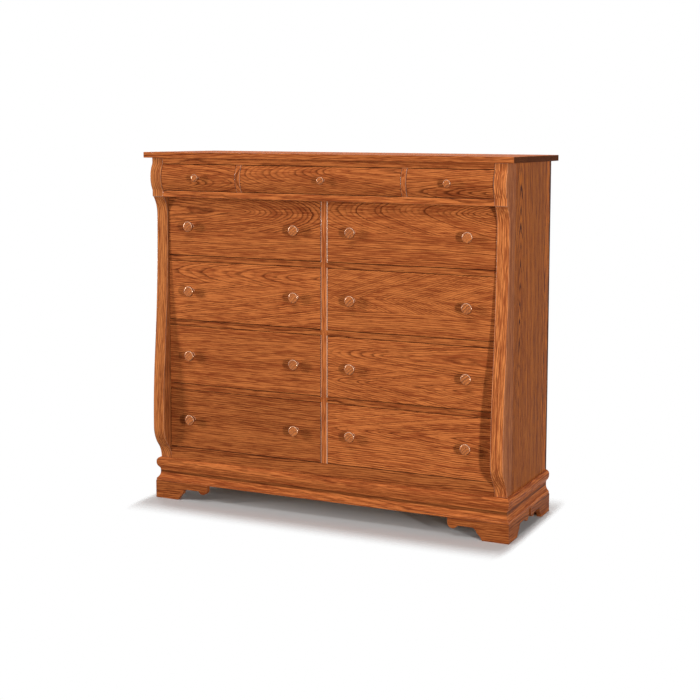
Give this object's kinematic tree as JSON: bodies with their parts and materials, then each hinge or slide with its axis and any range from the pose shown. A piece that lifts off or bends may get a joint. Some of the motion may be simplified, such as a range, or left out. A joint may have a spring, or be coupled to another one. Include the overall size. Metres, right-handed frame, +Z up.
{
  "type": "double chest of drawers",
  "caption": "Wide oak chest of drawers with bow-fronted frieze drawers over two columns of flat inset drawers, scrolled corner posts, moulded base and bracket feet.",
  "frame": {"origin": "on the floor, under the middle of the whole chest, knobs included", "axes": "+X to the viewer's right along the front, +Y to the back, +Z up; drawers open along -Y"},
  "size_m": [1.5088, 0.535, 1.37],
  "materials": {
    "stained_oak": "warm brown stain under a satin lacquer",
    "turned_oak": "turned, warm brown stain under a satin lacquer",
    "pale_wood": "plain sanded softwood",
    "back_board": "thin plywood, unfinished"
  },
  "bodies": {
    "case": {"back_panel": "back_board", "base_moulding": "stained_oak", "bottom_rail": "stained_oak", "centre_stile": "stained_oak", "drawer_rails": "stained_oak", "drawer_runners": "pale_wood", "foot_front_left": "stained_oak", "foot_front_right": "stained_oak", "foot_rear_left": "stained_oak", "foot_rear_right": "stained_oak", "frieze_rail": "stained_oak", "frieze_stiles": "stained_oak", "partitions": "pale_wood", "post_left": "stained_oak", "post_right": "stained_oak", "side_panel_left": "stained_oak", "side_panel_right": "stained_oak", "top_board": "stained_oak", "top_rail": "stained_oak"},
    "drawer_1_left": {"drawer_1_left_bottom": "pale_wood", "drawer_1_left_box": "pale_wood", "drawer_1_left_front": "stained_oak", "drawer_1_left_knobs": "turned_oak"},
    "drawer_1_right": {"drawer_1_right_bottom": "pale_wood", "drawer_1_right_box": "pale_wood", "drawer_1_right_front": "stained_oak", "drawer_1_right_knobs": "turned_oak"},
    "drawer_2_left": {"drawer_2_left_bottom": "pale_wood", "drawer_2_left_box": "pale_wood", "drawer_2_left_front": "stained_oak", "drawer_2_left_knobs": "turned_oak"},
    "drawer_2_right": {"drawer_2_right_bottom": "pale_wood", "drawer_2_right_box": "pale_wood", "drawer_2_right_front": "stained_oak", "drawer_2_right_knobs": "turned_oak"},
    "drawer_3_left": {"drawer_3_left_bottom": "pale_wood", "drawer_3_left_box": "pale_wood", "drawer_3_left_front": "stained_oak", "drawer_3_left_knobs": "turned_oak"},
    "drawer_3_right": {"drawer_3_right_bottom": "pale_wood", "drawer_3_right_box": "pale_wood", "drawer_3_right_front": "stained_oak", "drawer_3_right_knobs": "turned_oak"},
    "drawer_4_left": {"drawer_4_left_bottom": "pale_wood", "drawer_4_left_box": "pale_wood", "drawer_4_left_front": "stained_oak", "drawer_4_left_knobs": "turned_oak"},
    "drawer_4_right": {"drawer_4_right_bottom": "pale_wood", "drawer_4_right_box": "pale_wood", "drawer_4_right_front": "stained_oak", "drawer_4_right_knobs": "turned_oak"},
    "frieze_drawer_left": {"frieze_drawer_left_box": "pale_wood", "frieze_drawer_left_front": "stained_oak", "frieze_drawer_left_knob": "turned_oak"},
    "frieze_drawer_middle": {"frieze_drawer_middle_box": "pale_wood", "frieze_drawer_middle_front": "stained_oak", "frieze_drawer_middle_knob": "turned_oak"},
    "frieze_drawer_right": {"frieze_drawer_right_box": "pale_wood", "frieze_drawer_right_front": "stained_oak", "frieze_drawer_right_knob": "turned_oak"}
  },
  "joints": [
    {"name": "drawer_1_left_slide", "type": "slide", "parent": "case", "child": "drawer_1_left", "axis": [0, -1, 0], "range_m": [0, 0.36]},
    {"name": "drawer_1_right_slide", "type": "slide", "parent": "case", "child": "drawer_1_right", "axis": [0, -1, 0], "range_m": [0, 0.36]},
    {"name": "drawer_2_left_slide", "type": "slide", "parent": "case", "child": "drawer_2_left", "axis": [0, -1, 0], "range_m": [0, 0.36]},
    {"name": "drawer_2_right_slide", "type": "slide", "parent": "case", "child": "drawer_2_right", "axis": [0, -1, 0], "range_m": [0, 0.36]},
    {"name": "drawer_3_left_slide", "type": "slide", "parent": "case", "child": "drawer_3_left", "axis": [0, -1, 0], "range_m": [0, 0.36]},
    {"name": "drawer_3_right_slide", "type": "slide", "parent": "case", "child": "drawer_3_right", "axis": [0, -1, 0], "range_m": [0, 0.36]},
    {"name": "drawer_4_left_slide", "type": "slide", "parent": "case", "child": "drawer_4_left", "axis": [0, -1, 0], "range_m": [0, 0.36]},
    {"name": "drawer_4_right_slide", "type": "slide", "parent": "case", "child": "drawer_4_right", "axis": [0, -1, 0], "range_m": [0, 0.36]},
    {"name": "frieze_drawer_left_slide", "type": "slide", "parent": "case", "child": "frieze_drawer_left", "axis": [0, -1, 0], "range_m": [0, 0.36]},
    {"name": "frieze_drawer_middle_slide", "type": "slide", "parent": "case", "child": "frieze_drawer_middle", "axis": [0, -1, 0], "range_m": [0, 0.36]},
    {"name": "frieze_drawer_right_slide", "type": "slide", "parent": "case", "child": "frieze_drawer_right", "axis": [0, -1, 0], "range_m": [0, 0.36]}
  ]
}
